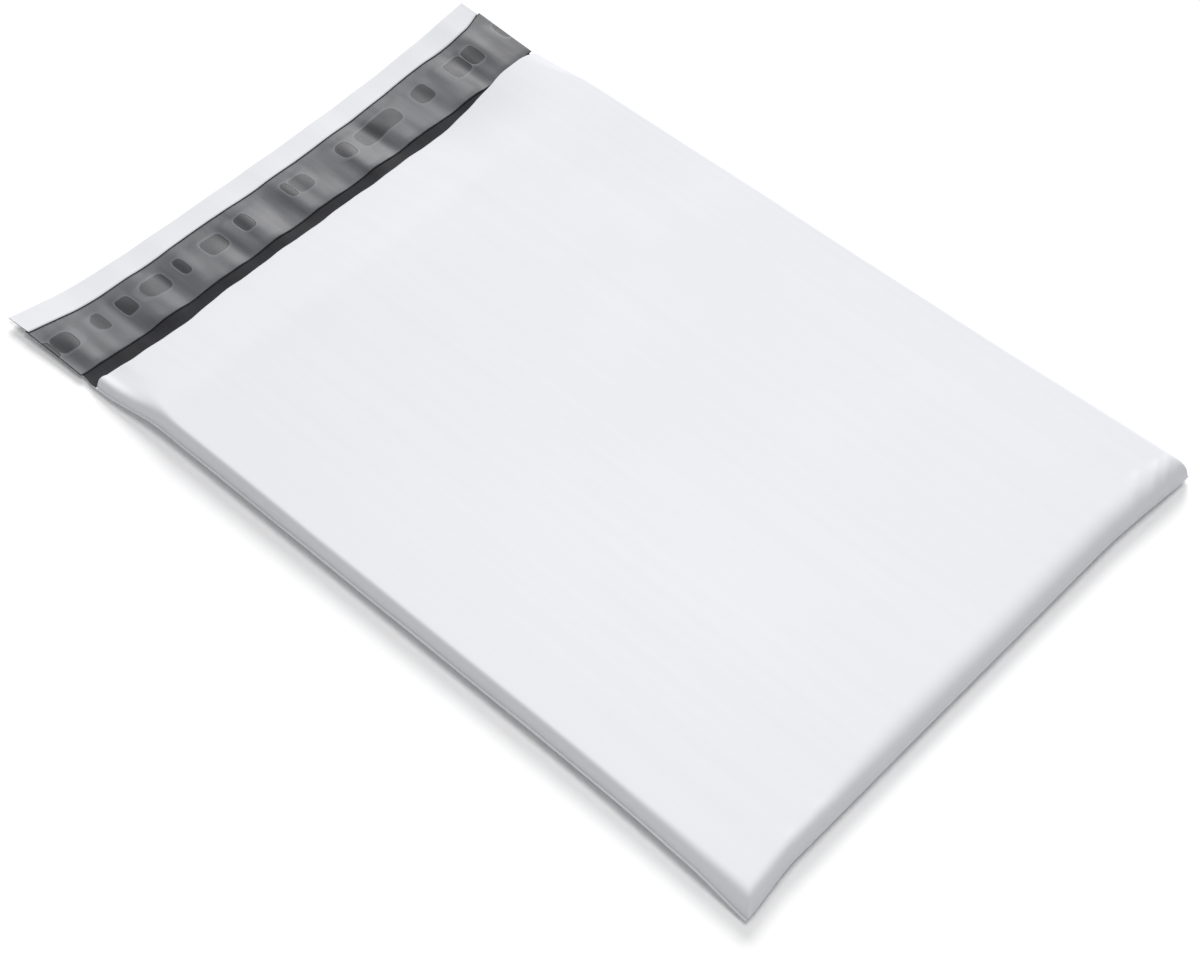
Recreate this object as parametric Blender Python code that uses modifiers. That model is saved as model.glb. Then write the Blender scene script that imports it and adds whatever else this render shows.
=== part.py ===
"""Poly mailer bag, 9 x 12 inch, lying on its back with the flap open and a flat pack of goods inside.

The bag is one long sheet of film. Followed from end to end, the sheet starts at the mouth edge of the front
panel, runs down the front, turns at the bottom fold, runs back up the back panel, goes on past the mouth as
the flap, and turns over at the flap's edge into a narrow hem. The two panels are welded to each other along
both sides. On the flap lie a band of hot melt adhesive and the release liner that covers it.

Frame: +X across the bag, +Y from the bottom fold to the flap, +Z up, origin under the middle of the whole.
"""

import math

import bmesh
import bpy

# --- driving dimensions, in metres -------------------------------------------------------------------------
BAG_WIDTH = 0.2286
BAG_LENGTH = 0.3043
FLAP_LENGTH = 0.0414                              # at its middle
HEM_WIDTH = 0.0102
LINER_WIDTH = 0.0246
ADHESIVE_WIDTH = 0.0140
FILM = 0.0003
CLEARANCE = 0.0003

PACK_HEIGHT = 0.0098
PACK_END = 0.2760                                 # how far up the bag the pack reaches
PACK_EDGE = 0.0044                                # radius of its rounded edges

# --- how the film lies over the pack -----------------------------------------------------------------------
FLOOR = FILM                                      # inner face of the back panel where it lies flat
ROOF = FLOOR + PACK_HEIGHT + 2 * CLEARANCE        # inner face of the front panel on top of the pack
SIDE_PULL = 0.0031                                # how far the fill draws each side seam in
SIDE_REACH = 0.1100                               # distance from the bottom over which it does so
MOUTH_PULL = 0.0023                               # how far in the seam still is at the mouth
FOLD_PULL = 0.0020                                # how far in the bottom fold is, between its corners
SEAM_HEIGHT = 0.0050                              # the seam's height along the pack
TIP_HEIGHT = 0.0022                               # its height at the bottom corners and at the mouth
TIP_REACH = 0.0200                                # how far a bottom corner's flat tip reaches
WELD_LIP = 0.0012                                 # the weld that stands out beside the pack
SLIT = 0.0003                                     # gap between the panels where the weld begins
WALL_RUN = 0.0046                                 # width of the film's rounded side wall
END_RUN = 0.0056                                  # width of its rounded end wall

# --- mouth, flap and hem -----------------------------------------------------------------------------------
MOUTH_START = 0.2740                              # where the front panel begins to fall towards the mouth
MOUTH_HEIGHT = 0.0060                             # inner face of the front panel at the mouth's middle
MOUTH_BOW = 0.0026                                # the filled front panel is pulled back by this much
MOUTH_RUN = 0.0300                                # width of the mouth's sloping ends
BOW_SHARE = 0.6                                   # share of the half width over which the bow sets in
FLAP_BOW = 0.0042                                 # the flap's corners stand further out than its middle
SETTLE_SHARE = 0.35                               # share of the flap in which it leaves the mouth's shape
LEFT_LIFT = 0.0030                                # height of the flap's outer corners
RIGHT_LIFT = 0.0046
LEFT_LIFT_REACH = 0.0400                          # how far along the flap each lift fades out
RIGHT_LIFT_REACH = 0.0700
HEM_GAP = 0.0003                                  # between the flap and the hem turned over it
HEM_MIDDLE = 0.88                                 # a line between the hem's free edge and the turn
ADHESIVE_THICK = 0.0002
LINER_THICK = 0.0002
ADHESIVE_INSET = 0.0040                           # adhesive stops short of the flap's sides
ADHESIVE_SHIFT = 0.0015                           # it lies this much above the liner's middle

# --- mesh density ------------------------------------------------------------------------------------------
WALL_STEPS = 5
FLAT_STEPS = 12
END_STEPS = 5
LONG_STEPS = 7
MOUTH_STEPS = 5
HEM_TURN_STEPS = 3
EDGE_SEGMENTS = 3

# --- worked out from the above -----------------------------------------------------------------------------
HALF_WIDTH = BAG_WIDTH / 2
MIDDLE_Y = (BAG_LENGTH + FLAP_LENGTH + FLAP_BOW) / 2
PACK_START = FOLD_PULL + 2 * CLEARANCE
PACK_HALF_WIDTH = HALF_WIDTH - WELD_LIP - SIDE_PULL - 2 * CLEARANCE
HEM_SHARE = 1 - HEM_WIDTH / FLAP_LENGTH           # where on the flap the hem's free edge comes to lie
LINER_TOP = HEM_SHARE - CLEARANCE / FLAP_LENGTH
LINER_FOOT = LINER_TOP - LINER_WIDTH / FLAP_LENGTH
ADHESIVE_MIDDLE = (LINER_TOP + LINER_FOOT) / 2 + ADHESIVE_SHIFT / FLAP_LENGTH
ADHESIVE_FOOT = ADHESIVE_MIDDLE - ADHESIVE_WIDTH / 2 / FLAP_LENGTH
ADHESIVE_TOP = ADHESIVE_MIDDLE + ADHESIVE_WIDTH / 2 / FLAP_LENGTH

WHITE = (0.82, 0.83, 0.86, 1.0)
GLUE_GREY = (0.10, 0.10, 0.11, 1.0)
LINER_GREY = (0.16, 0.16, 0.17, 1.0)
CLOTH_GREY = (0.45, 0.47, 0.50, 1.0)


def ease(t):
    """Smooth step from 0 to 1, flat at both ends."""
    t = min(max(t, 0.0), 1.0)
    return t * t * (3 - 2 * t)


def mix(a, b, t):
    return a + (b - a) * t


def clear_scene():
    for obj in list(bpy.data.objects):
        bpy.data.objects.remove(obj)


def plain_material(name, colour, roughness):
    material = bpy.data.materials.new(name)
    material.use_nodes = True
    shader = material.node_tree.nodes["Principled BSDF"]
    shader.inputs["Base Color"].default_value = colour
    shader.inputs["Roughness"].default_value = roughness
    shader.inputs["Metallic"].default_value = 0.0
    return material


# --- the seam, the fold and the panels' cross-section ------------------------------------------------------
def past_pack(y):
    """0 along the pack and 1 at the mouth."""
    return ease((y - MOUTH_START) / (BAG_LENGTH - MOUTH_START))


def seam_x(y):
    """Half the width between the roots of the two welds: drawn in by the fill, less so at both ends."""
    drawn_in = SIDE_PULL * (1 - (1 - min(y / SIDE_REACH, 1.0)) ** 2)
    return HALF_WIDTH - WELD_LIP - mix(drawn_in, MOUTH_PULL, past_pack(y))


def seam_z(y):
    """The seam's height: low at the bottom corners and at the mouth, where the film lies flat."""
    return mix(SEAM_HEIGHT, TIP_HEIGHT, max(1 - ease(y / TIP_REACH), past_pack(y)))


def fold_rise(x):
    """0 at the bottom corners and 1 between them, where the pack fills the fold."""
    return ease((HALF_WIDTH - abs(x)) / TIP_REACH)


def fold_z(x):
    return mix(TIP_HEIGHT, SEAM_HEIGHT, fold_rise(x))


def section(y, flat_z, run, side):
    """One panel's cross-section as (x, z) points from left to right.

    Each end is the weld's lip, then a quarter ellipse from the weld's root to the panel's flat middle.
    side is +1 for the front panel, above the seam, and -1 for the back panel, below it.
    """
    root_x = seam_x(y)
    root_z = seam_z(y) + side * SLIT / 2
    right = [(root_x + WELD_LIP, seam_z(y))]
    for k in range(WALL_STEPS + 1):
        turn = math.radians(90 * (1 - k / WALL_STEPS))
        right.append((root_x - run + run * math.sin(turn), mix(root_z, flat_z, math.cos(turn))))
    flat_x = root_x - run
    flat = [(mix(-flat_x, flat_x, k / FLAT_STEPS), flat_z) for k in range(1, FLAT_STEPS)]
    left = [(-x, z) for x, z in right]
    return left + flat + right[::-1]


# --- rows of the sheet, from the front panel's mouth edge to the hem's free edge -----------------------------
def fold_row():
    """The bottom fold, where both panels meet."""
    row = section(0.0, TIP_HEIGHT, WALL_RUN, +1)
    return [(x, FOLD_PULL * fold_rise(x), fold_z(x)) for x, _ in row]


def end_wall_rows(flat_z, side):
    """The rounded end wall, a quarter ellipse from the bottom fold to the panel's flat part."""
    rows = []
    for k in range(1, END_STEPS + 1):
        turn = math.radians(90 * k / END_STEPS)
        out = END_RUN * (1 - math.cos(turn))
        row = section(out, flat_z, WALL_RUN, side)
        welds = (0, len(row) - 1)
        rows.append([
            (x, FOLD_PULL * fold_rise(x) + out,
             z if i in welds else mix(fold_z(x) + side * SLIT / 2, z, math.sin(turn)))
            for i, (x, z) in enumerate(row)
        ])
    return rows


def long_rows(flat_z, side):
    rows = []
    for k in range(1, LONG_STEPS + 1):
        y = mix(END_RUN, MOUTH_START, k / LONG_STEPS)
        rows.append([(x, y, z) for x, z in section(y, flat_z, WALL_RUN, side)])
    return rows


def mouth_rows(end_z, bow, side):
    """From the pack's end to the mouth edge, which is drawn back by bow in its middle."""
    flat_z = ROOF if side > 0 else FLOOR
    rows = []
    for k in range(1, MOUTH_STEPS + 1):
        t = k / MOUTH_STEPS
        seam_y = mix(MOUTH_START, BAG_LENGTH, t)
        row = section(seam_y, mix(flat_z, end_z, ease(t)), mix(WALL_RUN, MOUTH_RUN, t), side)
        edge_x = row[-1][0]
        rows.append([(x, seam_y - t * bow * ease((1 - abs(x) / edge_x) / BOW_SHARE), z) for x, z in row])
    return rows


def corner_lift(x, left_height, right_height):
    """Height that the two side corners of the flap give at x, fading out with the square of the distance."""
    left = max(0.0, 1 - (HALF_WIDTH + x) / LEFT_LIFT_REACH)
    right = max(0.0, 1 - (HALF_WIDTH - x) / RIGHT_LIFT_REACH)
    return left_height * left ** 2 + right_height * right ** 2


def flap_row(share, height=0.0):
    """A line across the flap, a share of the way out to its edge, height above the film's inner face."""
    mouth = section(BAG_LENGTH, FLOOR, MOUTH_RUN, -1)
    widening = mix(1.0, HALF_WIDTH / mouth[-1][0], share)
    at_mouth = TIP_HEIGHT - FLOOR
    settled = ease(share / SETTLE_SHARE)
    row = []
    for mouth_x, mouth_z in mouth:
        x = mouth_x * widening
        out = share * (FLAP_LENGTH + FLAP_BOW * (x / HALF_WIDTH) ** 2)
        lift = corner_lift(x, mix(at_mouth, LEFT_LIFT, share), mix(at_mouth, RIGHT_LIFT, share))
        row.append((x, BAG_LENGTH + out, mix(mouth_z, FLOOR + lift, settled) + height))
    return row


def hem_rows():
    """The half turn at the flap's outer edge, and the hem that lies back over the flap."""
    radius = HEM_GAP / 2
    edge = flap_row(1.0)
    rows = []
    for k in range(HEM_TURN_STEPS + 1):
        turn = math.radians(180 * k / HEM_TURN_STEPS)
        back, up = radius - radius * math.sin(turn), radius - radius * math.cos(turn)
        rows.append([(x, y - back, z + up) for x, y, z in edge])
    return rows + [flap_row(HEM_MIDDLE, HEM_GAP), flap_row(HEM_SHARE, HEM_GAP)]


def sheet_rows():
    front = end_wall_rows(ROOF, +1) + long_rows(ROOF, +1) + mouth_rows(MOUTH_HEIGHT, MOUTH_BOW, +1)
    back = end_wall_rows(FLOOR, -1) + long_rows(FLOOR, -1) + mouth_rows(FLOOR, 0.0, -1)
    shares = (LINER_FOOT, ADHESIVE_FOOT, ADHESIVE_TOP, LINER_TOP, HEM_MIDDLE)
    flap = [flap_row(share) for share in shares]
    return front[::-1] + [fold_row()] + back + flap + hem_rows()


# --- building the objects ----------------------------------------------------------------------------------
def sheet_object(name, rows, thickness, offset, material, collection):
    """A thin sheet: a grid laid onto the rows, welded where its sides meet, and given its thickness.

    Rows run across the bag. The face that they describe looks up where they run towards +Y, and offset is
    +1 to grow the sheet from there along that direction, or -1 to grow it the other way.
    """
    across, along = len(rows[0]), len(rows)
    bm = bmesh.new()
    bmesh.ops.create_grid(bm, x_segments=across - 1, y_segments=along - 1, size=0.5)
    for vert in bm.verts:
        column = round((vert.co.x + 0.5) * (across - 1))
        line = round((vert.co.y + 0.5) * (along - 1))
        x, y, z = rows[line][column]
        vert.co = (x, y - MIDDLE_Y, z)
    bmesh.ops.remove_doubles(bm, verts=bm.verts, dist=1e-6)
    mesh = bpy.data.meshes.new(name)
    bm.to_mesh(mesh)
    bm.free()
    mesh.materials.append(material)
    mesh.shade_smooth()
    mesh.set_sharp_from_angle(angle=math.radians(35))
    obj = bpy.data.objects.new(name, mesh)
    collection.objects.link(obj)
    solidify = obj.modifiers.new("thickness", "SOLIDIFY")
    solidify.thickness = thickness
    solidify.offset = offset
    return obj


def make_film(collection):
    white = plain_material("white_film", WHITE, 0.45)
    sheet_object("mailer_film", sheet_rows(), FILM, -1.0, white, collection)


def make_adhesive(collection):
    glue = plain_material("hot_melt_adhesive", GLUE_GREY, 0.30)
    foot, top = flap_row(ADHESIVE_FOOT, CLEARANCE), flap_row(ADHESIVE_TOP, CLEARANCE)
    inside = [i for i, (x, _, _) in enumerate(foot) if abs(x) < HALF_WIDTH - ADHESIVE_INSET]
    rows = [[row[i] for i in inside] for row in (foot, top)]
    sheet_object("adhesive_strip", rows, ADHESIVE_THICK, 1.0, glue, collection)


def make_liner(collection):
    liner = plain_material("release_liner", LINER_GREY, 0.22)
    height = 2 * CLEARANCE + ADHESIVE_THICK
    rows = [flap_row(share, height) for share in (LINER_FOOT, ADHESIVE_FOOT, ADHESIVE_TOP, LINER_TOP)]
    sheet_object("release_liner", rows, LINER_THICK, 1.0, liner, collection)


def make_pack(collection):
    """The goods: a flat soft pack with rounded edges, lying between the two panels."""
    bpy.ops.mesh.primitive_cube_add(size=1.0)
    pack = bpy.context.object
    pack.name = pack.data.name = "packed_goods"
    pack.scale = (2 * PACK_HALF_WIDTH, PACK_END - PACK_START, PACK_HEIGHT)
    bpy.ops.object.transform_apply(location=False, rotation=False, scale=True)
    pack.location = (0.0, (PACK_START + PACK_END) / 2 - MIDDLE_Y, FLOOR + CLEARANCE + PACK_HEIGHT / 2)
    rounding = pack.modifiers.new("rounded_edges", "BEVEL")
    rounding.width = PACK_EDGE
    rounding.segments = EDGE_SEGMENTS
    rounding.limit_method = "NONE"
    pack.data.materials.append(plain_material("packed_cloth", CLOTH_GREY, 0.9))
    for owner in list(pack.users_collection):
        owner.objects.unlink(pack)
    collection.objects.link(pack)


def main():
    clear_scene()
    mailer = bpy.data.collections.new("poly_mailer_bag")
    bpy.context.scene.collection.children.link(mailer)
    make_film(mailer)
    make_adhesive(mailer)
    make_liner(mailer)
    make_pack(mailer)


main()
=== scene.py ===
# %% [markdown]
# A poly mailer bag, 9 by 12 inches, lies on its back with a flat pack of goods in it and its flap still open.
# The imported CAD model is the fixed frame: every piece here takes its place from the frame's own boxes, and then
# gives the same thing the surface that the real film, liner, glue and cloth have.

# %% Load the frame
import math

import bmesh
import bpy
import numpy as np
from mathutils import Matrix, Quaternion, Vector


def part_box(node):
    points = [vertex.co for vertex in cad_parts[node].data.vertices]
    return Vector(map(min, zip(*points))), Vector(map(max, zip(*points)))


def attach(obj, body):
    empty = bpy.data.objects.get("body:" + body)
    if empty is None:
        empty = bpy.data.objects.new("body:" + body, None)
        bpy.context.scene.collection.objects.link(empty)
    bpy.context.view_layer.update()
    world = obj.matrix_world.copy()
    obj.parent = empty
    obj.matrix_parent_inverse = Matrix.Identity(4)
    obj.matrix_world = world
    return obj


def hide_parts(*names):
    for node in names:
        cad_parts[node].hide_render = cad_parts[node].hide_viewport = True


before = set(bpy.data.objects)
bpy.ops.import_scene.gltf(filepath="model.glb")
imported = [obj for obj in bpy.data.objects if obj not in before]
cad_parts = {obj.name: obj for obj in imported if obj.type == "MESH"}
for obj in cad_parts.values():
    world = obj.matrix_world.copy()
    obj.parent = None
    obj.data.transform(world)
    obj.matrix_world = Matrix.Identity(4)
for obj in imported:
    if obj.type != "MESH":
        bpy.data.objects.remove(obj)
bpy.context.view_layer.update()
film_low, film_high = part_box("mailer_film")
pack_low, pack_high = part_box("packed_goods")
print("film box", tuple(film_low), tuple(film_high))

# %% [markdown]
# The camera looks down at the bag from beyond its lower left corner, through a lens a little longer than normal,
# as a catalogue picture is taken. It is set by angles, so it can be checked against a protractor: a turn about the
# vertical, a height above the floor and a very small roll.

# %% Camera
MM = 0.001
VIEW_TURN = -46.36                                   # degrees, 0 looks along +Y
VIEW_RISE = 52.23
VIEW_ROLL = -0.56
VIEW_DISTANCE = 0.8132
VIEW_AIM = Vector((-23.8, -31.0, 5.0)) * MM
LENS = 72.2
SENSOR = 36.0


def direction_to(turn, rise):
    """The unit vector that points turn degrees round from -Y and rise degrees above the floor."""
    t, r = math.radians(turn), math.radians(rise)
    return Vector((math.sin(t) * math.cos(r), -math.cos(t) * math.cos(r), math.sin(r)))


def make_camera():
    """The camera stands on the ray that leaves the aim at the view's turn and rise, and looks back down it."""
    back = direction_to(VIEW_TURN, VIEW_RISE)
    data = bpy.data.cameras.new("camera")
    data.lens, data.sensor_width = LENS, SENSOR
    camera = bpy.data.objects.new("camera", data)
    bpy.context.scene.collection.objects.link(camera)
    camera.location = VIEW_AIM + back * VIEW_DISTANCE
    camera.rotation_mode = "QUATERNION"
    camera.rotation_quaternion = (-back).to_track_quat("-Z", "Y") @ Quaternion((0, 0, 1), math.radians(VIEW_ROLL))
    bpy.context.scene.camera = camera
    return camera


camera = make_camera()
print("camera at", tuple(round(c, 4) for c in camera.location))

# %% [markdown]
# The floor is plain and nearly white. A pale sky lights the bag from every side. One large soft panel stands behind
# it, so that the far sides are fully lit and the near sides drop a short soft shadow, and a small one hangs above.
# The plain "Standard" view keeps a white floor white, where a film-like view would grey it.

# %% Floor and light
FLOOR_HALF = 4.0
FLOOR_WHITE = (0.96, 0.96, 0.96)
SKY_STRENGTH = 0.38
PANELS = [                                           # name, where it stands, what it faces, size, power
    ("back_panel", direction_to(131.0, 37.0) * 7.0, Vector((0, 0, 0)), 3.9, 430.0),
    ("top_panel", Vector((-0.06, -0.15, 0.70)), Vector((-0.08, -0.15, 0)), 0.35, 1.9),
]


def simple_material(name, colour, roughness):
    """A Principled material with one colour and one roughness, to build on."""
    material = bpy.data.materials.new(name)
    material.use_nodes = True
    shader = material.node_tree.nodes["Principled BSDF"]
    shader.inputs["Base Color"].default_value = (*colour, 1.0)
    shader.inputs["Roughness"].default_value = roughness
    return material, shader


def make_floor():
    """A flat square under everything."""
    corners = [(-FLOOR_HALF, -FLOOR_HALF, 0), (FLOOR_HALF, -FLOOR_HALF, 0),
               (FLOOR_HALF, FLOOR_HALF, 0), (-FLOOR_HALF, FLOOR_HALF, 0)]
    mesh = bpy.data.meshes.new("floor")
    mesh.from_pydata(corners, [], [(0, 1, 2, 3)])
    material, shader = simple_material("floor_white", FLOOR_WHITE, 0.9)
    shader.inputs["Specular IOR Level"].default_value = 0.0
    mesh.materials.append(material)
    floor = bpy.data.objects.new("floor", mesh)
    bpy.context.scene.collection.objects.link(floor)


def make_light():
    """A pale sky, and the panel lights, each turned to face its aim."""
    world = bpy.data.worlds.new("sky")
    world.use_nodes = True
    sky = world.node_tree.nodes["Background"]
    sky.inputs["Color"].default_value = (0.985, 0.99, 1.0, 1.0)
    sky.inputs["Strength"].default_value = SKY_STRENGTH
    bpy.context.scene.world = world
    for name, place, aim, size, power in PANELS:
        data = bpy.data.lights.new(name, "AREA")
        data.shape, data.size, data.energy = "DISK", size, power
        panel = bpy.data.objects.new(name, data)
        bpy.context.scene.collection.objects.link(panel)
        panel.location = place
        panel.rotation_mode = "QUATERNION"
        panel.rotation_quaternion = (aim - place).to_track_quat("-Z", "Y")


make_floor()
make_light()
bpy.context.scene.view_settings.view_transform = "Standard"

# %% [markdown]
# The bag is one long sheet of film, white outside and black inside. It runs down the front, turns at the bottom
# fold, comes back up the back panel, goes on past the mouth as the flap, and turns over at the flap's edge into a
# narrow hem. So it is built as one grid: lines along the bag are columns, lines across it are rows.
# First come the helpers that every shape here is worked out with.

# %% Helpers for shapes
def ease(t):
    """Smooth step: 3t^2 - 2t^3, held at 0 below 0 and at 1 above 1."""
    t = np.clip(t, 0.0, 1.0)
    return t * t * (3 - 2 * t)


def mix(a, b, t):
    """From a at t = 0 to b at t = 1."""
    return a + (b - a) * t


def hump(t):
    """A smooth bump, 1 at t = 0 and 0 from |t| = 1 on: (1 - t^2)^2."""
    return np.clip(1 - t * t, 0.0, 1.0) ** 2


def waves(x, y, rows):
    """The sum of straight waves. Each row is height, wave length, direction in degrees and start in turns."""
    total = np.zeros(np.broadcast(x, y).shape)
    for height, length, direction, start in rows:
        a = math.radians(direction)
        total = total + height * np.sin(2 * math.pi * ((x * math.cos(a) + y * math.sin(a)) / length + start))
    return total


def crease(x, y, start, end, height, width):
    """A sharp fold along a line: height times (1 - distance / width)^1.5, fading towards both of its ends."""
    dx, dy = end[0] - start[0], end[1] - start[1]
    long = math.hypot(dx, dy)
    along = ((x - start[0]) * dx + (y - start[1]) * dy) / long
    off = ((y - start[1]) * dx - (x - start[0]) * dy) / long
    side = np.clip(1 - np.abs(off) / width, 0.0, 1.0) ** 1.5
    return height * side * np.clip(1 - (2 * along / long - 1) ** 2, 0.0, 1.0)


# %% [markdown]
# The grid's lines lie close together where the film bends, over the welds, the side walls, the end wall and the
# mouth, and further apart over the flat middle, where there is nothing to show.

# %% The grid's lines
LIP_SHARES = (0.0, 0.1, 0.55)
WALL_STEPS, MIDDLE_STEPS = 10, 92
END_STEPS, LONG_STEPS = 10, 108
FLAP_STEPS, TURN_STEPS, HEM_STEPS = 44, 5, 10


def close_at_ends(steps, share=0.78):
    """Shares from 0 to 1: a mix of even steps and (1 - cos) / 2, which crowds them at both ends."""
    t = np.linspace(0, 1, steps + 1)
    return mix(t, (1 - np.cos(math.pi * t)) / 2, share)


def column_shares():
    """For each column: its share over the weld, its share up the side wall, its place from -1 to 1 across."""
    lip, wall = np.array(LIP_SHARES), np.linspace(0, 1, WALL_STEPS, endpoint=False)
    middle = close_at_ends(MIDDLE_STEPS) * 2 - 1
    side = len(lip) + WALL_STEPS
    over = np.concatenate([lip, np.ones(WALL_STEPS + len(middle) + WALL_STEPS), lip[::-1]])
    up = np.concatenate([np.zeros(len(lip)), wall, np.ones(len(middle)), wall[::-1], np.zeros(len(lip))])
    place = np.concatenate([np.full(side, -1.0), middle, np.full(side, 1.0)])
    return over, up, place


over, up, place = column_shares()
print(len(place), "columns")

# %% [markdown]
# Seen from above, the fill draws the side seams and the bottom fold in, so that the two lower corners stand out as
# small ears. The seams are not alike: the left one is drawn in more, and sooner.

# %% The bag's outline
FOLD_Y = film_low.y                                  # the lower corners, where y counts from
HALF_WIDTH = 114.3 * MM
WELD_END = 303.4 * MM
LIP = 0.9 * MM                                       # the weld that stands out beside the pack
FILM = 0.18 * MM


def drawn_in(y, pull, reach, mouth_pull):
    """How far a seam is drawn in: pull times 1 - (1 - y / reach)^2, and mouth_pull at the mouth."""
    filled = pull * (1 - (1 - np.clip(y / reach, 0, 1)) ** 2)
    return mix(filled, mouth_pull, ease((y - 268 * MM) / (32 * MM)))


def left_seam(y):
    return -(HALF_WIDTH - drawn_in(y, 2.8 * MM, 96 * MM, 0.6 * MM))


def right_seam(y):
    return HALF_WIDTH - drawn_in(y, 2.1 * MM, 170 * MM, 1.2 * MM)


def fold_line(x):
    """The bottom fold is drawn in between its corners, less towards the right."""
    left = ease((HALF_WIDTH + x) / (26 * MM))
    right = ease((HALF_WIDTH - x) / (46 * MM))
    return 2.3 * MM * left * right


MOUTH_WAVES = [(0.22 * MM, 31 * MM, 0, 0.1), (0.12 * MM, 13 * MM, 0, 0.3)]


def mouth_line(x):
    """The front panel's edge: drawn back in the middle, most at the left of it, and further out at the right."""
    right = 3.5 * ease((x - 60 * MM) / (36 * MM)) - 0.9 * ease((x - 100 * MM) / (10 * MM))
    left = 1.2 * ease((-x - 95 * MM) / (16 * MM)) - 1.3 * hump((x + 78 * MM) / (30 * MM))
    return WELD_END + (right + left - 2.4) * MM + waves(x, 0 * x, MOUTH_WAVES)


# %% [markdown]
# From the side, the front panel lies flat on the pack and drops to the seam in a steep wall with a soft upper
# edge. The wall follows a curve with one bend: straight up from the seam, then over onto the top. In shares, that
# is the distance w squared and the height 2w - w squared. Two walls that meet in a corner are joined by the
# deeper of the two, which leaves the diagonal ridge that film pulled round a corner has.

# %% Heights of the front panel
TOP = 10.85 * MM
TIP_Z = 2.0 * MM
SIDE_Z = 4.7 * MM
LEFT_SIDE, RIGHT_SIDE = 108.1 * MM, 109.6 * MM
UNDULATION = [(0.16 * MM, 190 * MM, 70, 0.1), (0.12 * MM, 120 * MM, 20, 0.55), (0.07 * MM, 64 * MM, 115, 0.3)]


def wall_run(w):
    return w * w


def wall_rise(w):
    return w * (2 - w)


def joined(a, b, power=3.2):
    """Where two walls meet: 1 - ((1 - a)^p + (1 - b)^p)^(1/p), and not below 0."""
    return np.clip(1 - ((1 - a) ** power + (1 - b) ** power) ** (1 / power), 0.0, 1.0)


def seam_height(y):
    """Low at the lower corners and at the mouth, and halfway up the pack between them."""
    settled = np.minimum(ease(y / (24 * MM)), 1 - ease((y - 270 * MM) / (34 * MM)))
    return mix(TIP_Z, SIDE_Z, settled) + waves(y, 0 * y, [(0.15 * MM, 47 * MM, 0, 0.2)]) * settled


def fold_height(x):
    return mix(TIP_Z, 4.4 * MM, ease((HALF_WIDTH - np.abs(x)) / (22 * MM)))


def mouth_height(x):
    """The front panel at its edge: low in the middle, puffed up at the right end, a small curl at the left."""
    return (5.3 + 4.9 * ease((x - 50 * MM) / (48 * MM)) + 1.5 * hump((x + 111.2 * MM) / (3.5 * MM))
            - 0.5 * hump((x + 106 * MM) / (6 * MM))) * MM


def end_run(x):
    """Width of the end wall: narrow at the left, broad and soft from the middle on."""
    return (4.2 + 3.9 * ease((x + 85 * MM) / (60 * MM))) * MM


def left_run(y):
    """How much wider the left side wall grows towards the mouth, where nothing fills the bag."""
    return 5.2 * MM * ease((y - 262 * MM) / (30 * MM))


def right_run(y):
    """The same for the right side wall, over a shorter way."""
    return 6.0 * MM * ease((y - 276 * MM) / (26 * MM))


CREASES = [
    ((88 * MM, 3.5 * MM), (97 * MM, 12.0 * MM), 0.7 * MM, 3.0 * MM),
    ((98 * MM, 2.5 * MM), (105 * MM, 9.5 * MM), 0.9 * MM, 2.2 * MM),
    ((103 * MM, 2.0 * MM), (110 * MM, 8.0 * MM), 0.8 * MM, 2.0 * MM),
    ((-92 * MM, 2.0 * MM), (-85 * MM, 8.5 * MM), 0.35 * MM, 2.0 * MM),
    ((-70 * MM, 2.0 * MM), (-75 * MM, 8.0 * MM), 0.35 * MM, 2.0 * MM),
]


def top_height(x, y):
    """The panel over the pack with its faint undulation, falling to the mouth's edge past the pack's end."""
    over_pack = TOP + waves(x, y, UNDULATION)
    return mix(over_pack, mouth_height(x), ease((y - 268 * MM) / (36 * MM)))


# %% [markdown]
# Now the panels. A row's place is given by two shares: v up the end wall and q from there to the mouth. The front
# and the back panel have the same outline, so their welds meet line by line.

# %% Front and back panels
def panel_plan(v, q):
    """x and y of a panel's grid, rows by columns."""
    v, q = v[:, None], q[:, None]
    near_y = 3.0 * MM * wall_run(v) + (WELD_END - 3.0 * MM) * q
    left, right = left_seam(near_y), right_seam(near_y)
    left_edge = -LEFT_SIDE + left_run(near_y)
    right_edge = RIGHT_SIDE - right_run(near_y)
    left_x = left + LIP * over + (left_edge - left - LIP) * wall_run(up)
    right_x = right - LIP * over - (right - LIP - right_edge) * wall_run(up)
    middle_x = mix(left_edge, right_edge, (place + 1) / 2)
    x = np.where(place <= -1, left_x, np.where(place >= 1, right_x, middle_x))
    return x, v, q


def weld_gap(v, q):
    """How far each panel's outer face lies from the weld's middle: one film's thickness, and none at its edge."""
    on_weld = (up <= 0) & (over > 0)
    return np.where(on_weld, 1.1 * FILM, 0.0) * np.where(v > 0, 1.0, 0.0)


def front_panel(v, q):
    """Rows of the front panel's outer face."""
    x, v, q = panel_plan(v, q)
    fold, end = fold_line(x), fold_line(x) + end_run(x)
    y = mix(fold + (end - fold) * wall_run(v), mix(end, mouth_line(x), q), (q > 0) * 1.0)
    side_rise, end_rise = wall_rise(up) + 0 * v, wall_rise(v) + 0 * x
    rise = joined(side_rise, end_rise)
    toward_side = end_rise / (side_rise + end_rise + 1e-9)
    edge = mix(fold_height(x), seam_height(y), toward_side)
    z = mix(edge, top_height(x, y), rise)
    for start, end_point, height, width in CREASES:
        z = z + crease(x, y, start, end_point, height, width) * np.minimum(side_rise, end_rise)
    return x, y, z + weld_gap(v, q)


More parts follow.
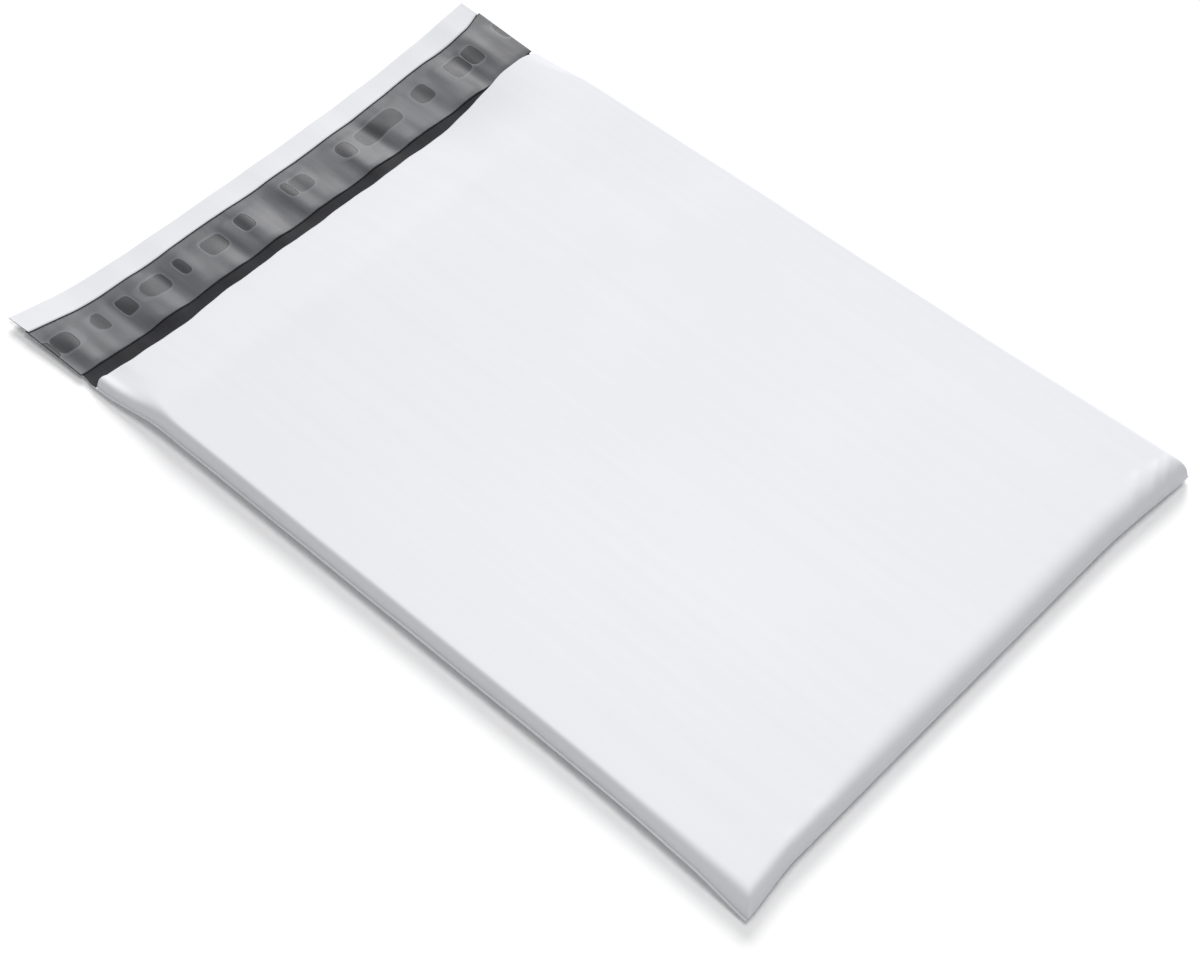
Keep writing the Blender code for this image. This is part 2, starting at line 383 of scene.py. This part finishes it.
def back_panel(v, q):
    """Rows of the back panel's outer face: walls that curve under, then the face that lies on the floor."""
    x, v, q = panel_plan(v, q)
    fold, end = fold_line(x), fold_line(x) + end_run(x)
    y = mix(fold + (end - fold) * wall_run(v), mix(end, WELD_END + 0 * x, q), (q > 0) * 1.0)
    side_rise, end_rise = wall_rise(up) + 0 * v, wall_rise(v) + 0 * x
    fall = joined(side_rise, end_rise)
    toward_side = end_rise / (side_rise + end_rise + 1e-9)
    edge = mix(fold_height(x), seam_height(y), toward_side)
    z = mix(edge, 0.03 * MM + 0 * x, fall)
    return x, y, z - weld_gap(v, q)


def panel_rows():
    """Shares v and q of the rows from the bottom fold to the mouth."""
    v = np.concatenate([np.linspace(0, 1, END_STEPS + 1), np.ones(LONG_STEPS)])
    q = np.concatenate([np.zeros(END_STEPS + 1), close_at_ends(LONG_STEPS)[1:]])
    return v, q


# %% [markdown]
# The flap is the back panel's own film, going on past the mouth. It lies on the floor in soft cross ripples, its
# outer edge bows out towards both corners, and both corners lift. The hem is the same film turned back over it.

# %% Flap and hem
FLAP = 41.6 * MM
HEM = 10.4 * MM
HEM_CHANGES = [(0.8, 98, 20), (-1.9, 118, 14), (-0.6, 68, 18), (0.5, -92, 22), (-0.7, -38, 20)]
RIPPLES = [(0.50 * MM, 25.5 * MM, 4, 0.15), (0.17 * MM, 17.0 * MM, -5, 0.6), (0.07 * MM, 9.5 * MM, 6, 0.35)]


def flap_reach(x):
    """How far out the flap's edge lies: most at both corners, with a quick rise at the left."""
    u = np.clip(x / HALF_WIDTH, -1, 1)
    return FLAP + 4.2 * MM * np.where(u < 0, np.abs(u) ** 4, np.abs(u) ** 1.6)


def flap_height(x, share):
    """Ripples, and the two lifted corners. The ripples fade towards the outer edge."""
    left = 3.0 * MM * np.clip(1 - (HALF_WIDTH + x) / (40 * MM), 0, 1) ** 2
    right = 3.7 * MM * np.clip(1 - (HALF_WIDTH - x) / (70 * MM), 0, 1) ** 2
    at_mouth = (TIP_Z - 0.2 * MM) * np.clip(1 - (HALF_WIDTH - np.abs(x)) / (22 * MM), 0, 1) ** 2
    lift = mix(at_mouth, left + right, ease(share))
    fade = ease(share / 0.22) * mix(1.0, 0.25, ease((share - 0.45) / 0.40))
    ripple = (waves(x, share * FLAP, RIPPLES) + 0.76 * MM) * fade
    return 0.05 * MM + lift + ripple


def hem_width(x):
    """The hem was turned over a little unevenly: each change is a smooth bump in mm, at x, so wide."""
    return HEM + sum(height * hump((x / MM - middle) / reach) for height, middle, reach in HEM_CHANGES) * MM


def flap_point(across, share):
    """(x, y, z) on the flap: across is the place at the mouth, share how far out. It narrows past the mouth."""
    x = across * (1 - 0.0065 * ease(share / 0.12) + 0.0125 * share ** 2)
    return x, WELD_END + share * flap_reach(x), flap_height(x, share)


def flap_rows(across):
    shares = np.linspace(0, 1, FLAP_STEPS + 1)[1:, None]
    return flap_point(across, shares)


def hem_rows(across):
    """The half turn at the outer edge, then the hem lying back over the flap."""
    radius = 0.28 * MM
    angle = np.linspace(0, math.pi, TURN_STEPS + 1)[1:, None]
    x, y, z = flap_point(across, np.ones((1, 1)))
    turn = (x + 0 * angle, y + radius * np.sin(angle), z + radius * (1 - np.cos(angle)))
    inner = np.linspace(0, 1, HEM_STEPS + 1)[1:, None]
    share = 1 - inner * hem_width(across) / flap_reach(across)
    hx, hy, hz = flap_point(across, share)
    back = (hx, hy, hz + 2 * radius + 0.32 * MM * inner ** 2)
    return [np.concatenate([t, b]) for t, b in zip(turn, back)]


# %% [markdown]
# The rows are stacked into one grid and become one mesh. Doubled points along the welds are merged, and the
# Solidify modifier gives the film its thickness. Its inner face takes the second material, which is how one sheet
# can be white outside and black inside, as real two-layer mailer film is.

# %% Mesh from a grid
def grid_object(name, x, y, z, flip=False):
    """A mesh whose points are the grid's and whose faces join each point with the next across and along."""
    rows, columns = z.shape
    points = np.stack([x, y + FOLD_Y, z], axis=-1).reshape(-1, 3)
    index = np.arange(rows * columns).reshape(rows, columns)
    quads = np.stack([index[:-1, :-1], index[:-1, 1:], index[1:, 1:], index[1:, :-1]], axis=-1).reshape(-1, 4)
    if flip:
        quads = quads[:, ::-1]
    mesh = bpy.data.meshes.new(name)
    mesh.from_pydata(points.tolist(), [], quads.tolist())
    shares = np.stack(np.meshgrid(np.linspace(0, 1, columns), np.linspace(0, 1, rows)), axis=-1).reshape(-1, 2)
    corner = np.empty(len(mesh.loops), np.int32)
    mesh.loops.foreach_get("vertex_index", corner)
    mesh.uv_layers.new(name="sheet").data.foreach_set("uv", shares[corner].astype(np.float32).ravel())
    bm = bmesh.new()
    bm.from_mesh(mesh)
    bmesh.ops.remove_doubles(bm, verts=bm.verts, dist=1e-6)
    bm.to_mesh(mesh)
    bm.free()
    mesh.shade_smooth()
    obj = bpy.data.objects.new(name, mesh)
    bpy.context.scene.collection.objects.link(obj)
    print(name, len(mesh.polygons), "faces")
    return obj


def add_thickness(obj, thickness, offset, inner_material=0):
    solidify = obj.modifiers.new("thickness", "SOLIDIFY")
    solidify.thickness, solidify.offset = thickness, offset
    solidify.material_offset = inner_material
    return solidify


def make_film():
    """The whole sheet: front panel from the mouth down, back panel up, flap out, hem back."""
    v, q = panel_rows()
    front = [grid[::-1] for grid in front_panel(v, q)]
    back = [grid[1:] for grid in back_panel(v, q)]
    across = back[0][-1:]
    parts = [front, back, flap_rows(across), hem_rows(across)]
    x, y, z = (np.concatenate([np.broadcast_to(part[k], (part[2].shape[0], len(place))) for part in parts])
               for k in range(3))
    film = grid_object("mailer_film_sheet", x, y, z, flip=True)
    add_thickness(film, FILM, -1.0, inner_material=1)
    return film


film = make_film()
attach(film, "root")
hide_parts("mailer_film")

# %% [markdown]
# Release liner and glue. A band of hot melt glue runs across the flap, and a thin silicone-coated film covers it
# until the bag is closed. The liner follows the flap's ripples and adds short buckles of its own, because it is
# glued down only along the band. It tucks a little way under the hem.

# %% Liner and glue
LINER_FOOT, LINER_TOP = 0.148, 0.800                 # shares of the way out along the flap
GLUE_MIDDLE, GLUE_HALF = 0.480, 0.165
GLUE_REACH = 110.3 * MM                              # the band stops short of both edges
GLUE_LIFT, GLUE_THICK = 0.22 * MM, 0.10 * MM
LINER_LIFT, LINER_THICK = 0.36 * MM, 0.07 * MM
BUCKLES = [(0.07 * MM, 12.5 * MM, 5, 0.4), (0.03 * MM, 7.3 * MM, -6, 0.1)]


def liner_point(x, share, height):
    """On the flap, raised by height and by short buckles, which die out at the foot and under the hem."""
    px, py, pz = flap_point(x, share)
    loose = mix(0.35, 1.0, ease((share - LINER_FOOT) / 0.08)) * (1 - ease((share - 0.62) / 0.08))
    return px + 0 * share, py, pz + height + (waves(px, py, BUCKLES) + 0.10 * MM) * loose


def strip(name, shares, half, height, thickness, columns, rows):
    across = np.linspace(-half, half, columns)[None, :]
    share = np.linspace(shares[0], shares[1], rows)[:, None]
    piece = grid_object(name, *liner_point(across, share, height))
    add_thickness(piece, thickness, 1.0)
    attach(piece, "root")
    return piece


glue = strip("adhesive_band", (GLUE_MIDDLE - GLUE_HALF, GLUE_MIDDLE + GLUE_HALF), GLUE_REACH,
             GLUE_LIFT, GLUE_THICK, 260, 12)
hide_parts("adhesive_strip")
liner = strip("release_liner_film", (LINER_FOOT, LINER_TOP), HALF_WIDTH, LINER_LIFT, LINER_THICK, 460, 48)
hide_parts("release_liner")

# %% [markdown]
# The goods. What fills the bag isn't seen except through the mouth, so it is what such a bag usually carries: a
# garment folded flat. It is one closed form. Its outline from above is a rounded rectangle, its sides show the
# folded layers as grooves, and its faces dip a little between them.

# %% Goods
GOODS_LOW = pack_low.y + 3.4 * MM
GOODS_HIGH = pack_high.y
GOODS_HALF = 106.3 * MM
GOODS_FLOOR, GOODS_TOP = 0.45 * MM, 10.25 * MM
GOODS_ROUND, GROOVE = 2.2 * MM, 1.1 * MM
LAYERS = 4


def goods_grid(around=320, side=60, face=26):
    """Rows from the middle of the bottom face, out to its edge, up the grooved side, and in over the top face.

    From above, a point lies at reach times the rounded rectangle's radius, 1 / (|cos/a|^n + |sin/b|^n)^(1/n).
    On the side, the reach falls back at both rounded edges and, less deeply, between two layers.
    """
    half_y = (GOODS_HIGH - GOODS_LOW) / 2
    angle = np.linspace(0, 2 * math.pi, around + 1)[None, :]
    n = 16
    radius = (np.abs(np.cos(angle) / GOODS_HALF) ** n + np.abs(np.sin(angle) / half_y) ** n) ** (-1 / n)
    height = np.linspace(-1, 1, side)[:, None]
    layer = np.abs(np.sin((height + 1) / 2 * LAYERS * math.pi)) ** 0.6
    rounded = 1 - np.sqrt(np.clip(1 - height ** 4, 0, 1))
    inset = GOODS_ROUND * rounded + GROOVE * (1 - layer) * (1 - height ** 4)
    reach = np.linspace(0, 1, face, endpoint=False)[:, None] ** 0.8
    edge = radius - GOODS_ROUND
    r = np.concatenate([reach * edge, radius - inset, (reach * edge)[::-1]])
    z = np.concatenate([0 * reach - 1, height, 0 * reach + 1]) + 0 * angle
    x, y = r * np.cos(angle), r * np.sin(angle)
    dip = waves(x, y, [(0.12 * MM, 70 * MM, 35, 0.2), (0.08 * MM, 41 * MM, 100, 0.6)]) - 0.2 * MM
    z = mix(GOODS_FLOOR, GOODS_TOP, (z + 1) / 2) + dip * np.clip(z, 0, 1)
    return x, y + (GOODS_LOW + GOODS_HIGH) / 2 - FOLD_Y, z


goods = grid_object("folded_goods", *goods_grid())
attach(goods, "root")
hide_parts("packed_goods")

# %% [markdown]
# Finishes. Blown film has a fine haze: faint streaks along the web, soft clouds in its gloss and a crinkle too
# small to model. The white outside, the black inside and the liner all have it, each in its own measure, so it is
# a node group that puts out values only.

# %% Film haze
def socket(group, name, in_out, kind="NodeSocketFloat", value=None):
    made = group.interface.new_socket(name=name, in_out=in_out, socket_type=kind)
    if value is not None:
        made.default_value = value
    return made


def node(tree, kind, inputs=None, **settings):
    """Adds a node. inputs maps a socket's name or number to a value, or to the socket that feeds it."""
    made = tree.nodes.new(kind)
    for key, value in settings.items():
        setattr(made, key, value)
    for key, value in (inputs or {}).items():
        if isinstance(value, bpy.types.NodeSocket):
            tree.links.new(value, made.inputs[key])
        else:
            made.inputs[key].default_value = value
    return made


def make_haze_group():
    """Values that change over a film: Cloud, Streak (both 0 to 1) and Crinkle (a height, in metres)."""
    tree = bpy.data.node_groups.new("film_haze", "ShaderNodeTree")
    socket(tree, "Vector", "INPUT", "NodeSocketVector")
    socket(tree, "Crinkle size", "INPUT", value=0.004)
    socket(tree, "Crinkle height", "INPUT", value=0.00002)
    for name in ("Cloud", "Streak", "Crinkle"):
        socket(tree, name, "OUTPUT")
    given, out = tree.nodes.new("NodeGroupInput"), tree.nodes.new("NodeGroupOutput")
    where = given.outputs["Vector"]
    cloud = node(tree, "ShaderNodeTexNoise", {"Vector": where, "Scale": 22.0, "Detail": 3.0, "Roughness": 0.5})
    along = node(tree, "ShaderNodeMapping", {"Vector": where, "Scale": (260.0, 2.0, 2.0)})
    streak = node(tree, "ShaderNodeTexNoise", {"Vector": along.outputs[0], "Scale": 1.0, "Detail": 4.0})
    finer = node(tree, "ShaderNodeMath", {0: 1.0, 1: given.outputs["Crinkle size"]}, operation="DIVIDE")
    crinkle = node(tree, "ShaderNodeTexNoise",
                   {"Vector": where, "Scale": finer.outputs[0], "Detail": 4.0, "Roughness": 0.55, "Distortion": 0.6})
    high = node(tree, "ShaderNodeMath", {0: crinkle.outputs["Fac"], 1: given.outputs["Crinkle height"]},
                operation="MULTIPLY")
    tree.links.new(cloud.outputs["Fac"], out.inputs["Cloud"])
    tree.links.new(streak.outputs["Fac"], out.inputs["Streak"])
    tree.links.new(high.outputs[0], out.inputs["Crinkle"])
    return tree


def ramp(tree, value, low, high, start=0.3, end=0.7):
    """Maps a value from start..end to low..high, smoothly."""
    made = node(tree, "ShaderNodeMapRange", {"Value": value, "From Min": start, "From Max": end,
                                             "To Min": low, "To Max": high}, interpolation_type="SMOOTHSTEP")
    return made.outputs["Result"]


def blend_colours(tree, share, first, second):
    made = node(tree, "ShaderNodeMix", {0: share, 6: first, 7: second}, data_type="RGBA")
    return made.outputs[2]


film_haze = make_haze_group()

# %% [markdown]
# The white layer is a cool off-white, half matt, with clouds so faint that they only keep it from looking
# painted. The black layer inside is matt. Both read Object coordinates, since the sheet's place is in its mesh.

# %% White and black film
def film_material(name, light, dark, gloss, crinkle_size, crinkle_height, specular):
    """A film's colour between two tones, its gloss between two roughnesses, and its crinkle as bump."""
    material = bpy.data.materials.new(name)
    material.use_nodes = True
    tree = material.node_tree
    shader = tree.nodes["Principled BSDF"]
    shader.inputs["Specular IOR Level"].default_value = specular
    where = node(tree, "ShaderNodeTexCoord").outputs["Object"]
    haze = node(tree, "ShaderNodeGroup", {}, node_tree=film_haze)
    tree.links.new(where, haze.inputs["Vector"])
    haze.inputs["Crinkle size"].default_value = crinkle_size
    haze.inputs["Crinkle height"].default_value = crinkle_height
    both = node(tree, "ShaderNodeMath", {0: haze.outputs["Cloud"], 1: haze.outputs["Streak"]}, operation="ADD")
    tone = blend_colours(tree, ramp(tree, both.outputs[0], 0.0, 1.0, 0.75, 1.25), (*dark, 1.0), (*light, 1.0))
    tree.links.new(tone, shader.inputs["Base Color"])
    tree.links.new(ramp(tree, haze.outputs["Cloud"], *gloss), shader.inputs["Roughness"])
    bump = node(tree, "ShaderNodeBump", {"Height": haze.outputs["Crinkle"], "Strength": 1.0, "Distance": 1.0})
    tree.links.new(bump.outputs[0], shader.inputs["Normal"])
    return material, tree, shader, haze, where, bump


white = film_material("white_film_outside", (0.665, 0.675, 0.700), (0.650, 0.660, 0.686), (0.56, 0.66),
                      0.0035, 0.000012, 0.35)[0]
black = film_material("black_film_inside", (0.014, 0.015, 0.019), (0.008, 0.008, 0.011), (0.56, 0.70),
                      0.0025, 0.00004, 0.18)[0]
film.data.materials.append(white)
film.data.materials.append(black)

# %% [markdown]
# The liner is a thin grey film over black, so it shows what is under it. Where it has wetted out against the glue
# it looks darker, in an uneven row of soft-cornered blotches. They come from a noise-warped cell pattern held to
# the glue's band, so no two are alike and they say nothing.

# %% Liner, glue and cloth
LINER_GREY, LINER_PALE, LINER_RIM = (0.046, 0.047, 0.054), (0.078, 0.080, 0.090), (0.090, 0.092, 0.102)
BLOTCH = (0.013, 0.014, 0.018)
BLOTCH_DEPTH = 0.00006                               # metres, as bump
SOFT_CORNER = 3.5                                    # the power that rounds a blotch's corners


def blotch_mask(tree, where):
    """Two masks, the blotch and the blotch with its rim.

    Both hold across^p + along^p, a rectangle with soft corners, against a limit. across counts from the
    middle of a cell along the band, in parts of a width that a noise makes wide or narrow.
    """
    warp = node(tree, "ShaderNodeTexNoise", {"Scale": 45.0, "Detail": 2.0}, noise_dimensions="1D")
    parts = node(tree, "ShaderNodeSeparateXYZ", {"Vector": where})
    tree.links.new(parts.outputs["X"], warp.inputs["W"])
    shift = node(tree, "ShaderNodeMath", {0: warp.outputs["Fac"], 1: 0.022, 2: parts.outputs["X"]},
                 operation="MULTIPLY_ADD")
    cells = node(tree, "ShaderNodeTexVoronoi", {"W": shift.outputs[0], "Scale": 68.0, "Randomness": 0.75},
                 voronoi_dimensions="1D", feature="F1")
    wide = node(tree, "ShaderNodeTexNoise", {"W": parts.outputs["X"], "Scale": 31.0, "Detail": 0.0},
                noise_dimensions="1D")
    reach = ramp(tree, wide.outputs["Fac"], 0.17, 0.42, 0.35, 0.65)
    across = node(tree, "ShaderNodeMath", {0: cells.outputs["Distance"], 1: reach}, operation="DIVIDE")
    uv = node(tree, "ShaderNodeUVMap", {}, uv_map="sheet")
    out = node(tree, "ShaderNodeSeparateXYZ", {"Vector": uv.outputs[0]})
    waver = node(tree, "ShaderNodeMath", {0: warp.outputs["Fac"], 1: 0.10, 2: out.outputs["Y"]},
                 operation="MULTIPLY_ADD")
    middle = node(tree, "ShaderNodeMath", {0: waver.outputs[0], 1: 0.60}, operation="SUBTRACT")
    off = node(tree, "ShaderNodeMath", {0: middle.outputs[0]}, operation="ABSOLUTE")
    along = node(tree, "ShaderNodeMath", {0: off.outputs[0], 1: 0.165}, operation="DIVIDE")
    powers = [node(tree, "ShaderNodeMath", {0: part.outputs[0], 1: SOFT_CORNER}, operation="POWER")
              for part in (across, along)]
    shape = node(tree, "ShaderNodeMath", {0: powers[0].outputs[0], 1: powers[1].outputs[0]}, operation="ADD")
    return ramp(tree, shape.outputs[0], 1.0, 0.0, 0.75, 1.15), ramp(tree, shape.outputs[0], 1.0, 0.0, 1.2, 2.4)


def make_liner_material():
    material, tree, shader, haze, where, bump = film_material(
        "release_liner_grey", LINER_PALE, LINER_GREY, (0.42, 0.52), 0.004, 0.00004, 0.42)
    blotch, rim = blotch_mask(tree, where)
    tone = shader.inputs["Base Color"].links[0].from_socket
    tone = blend_colours(tree, rim, tone, (*LINER_RIM, 1.0))
    tree.links.new(blend_colours(tree, blotch, tone, (*BLOTCH, 1.0)), shader.inputs["Base Color"])
    sunk = node(tree, "ShaderNodeMath", {0: blotch, 1: -BLOTCH_DEPTH, 2: haze.outputs["Crinkle"]},
                operation="MULTIPLY_ADD")
    tree.links.new(sunk.outputs[0], bump.inputs["Height"])
    return material


def make_glue_material():
    return film_material("hot_melt_glue", (0.030, 0.030, 0.034), (0.018, 0.018, 0.020), (0.18, 0.32),
                         0.0018, 0.00008, 0.5)[0]


def make_cloth_material():
    """Jersey: a fine rib of stitches as bump, and a heathered grey from one noise."""
    material = bpy.data.materials.new("jersey_cloth")
    material.use_nodes = True
    tree = material.node_tree
    shader = tree.nodes["Principled BSDF"]
    shader.inputs["Roughness"].default_value = 0.9
    shader.inputs["Sheen Weight"].default_value = 0.25
    where = node(tree, "ShaderNodeTexCoord").outputs["Object"]
    fine = node(tree, "ShaderNodeTexNoise", {"Vector": where, "Scale": 900.0, "Detail": 3.0})
    tone = blend_colours(tree, ramp(tree, fine.outputs["Fac"], 0.0, 1.0, 0.35, 0.65),
                         (0.16, 0.18, 0.21, 1.0), (0.30, 0.32, 0.36, 1.0))
    tree.links.new(tone, shader.inputs["Base Color"])
    rib = node(tree, "ShaderNodeTexWave", {"Vector": where, "Scale": 320.0, "Distortion": 1.2, "Detail": 2.0},
               wave_type="BANDS", bands_direction="X")
    bump = node(tree, "ShaderNodeBump", {"Height": rib.outputs["Fac"], "Strength": 0.6, "Distance": 0.0002})
    tree.links.new(bump.outputs[0], shader.inputs["Normal"])
    return material


liner.data.materials.append(make_liner_material())
glue.data.materials.append(make_glue_material())
goods.data.materials.append(make_cloth_material())
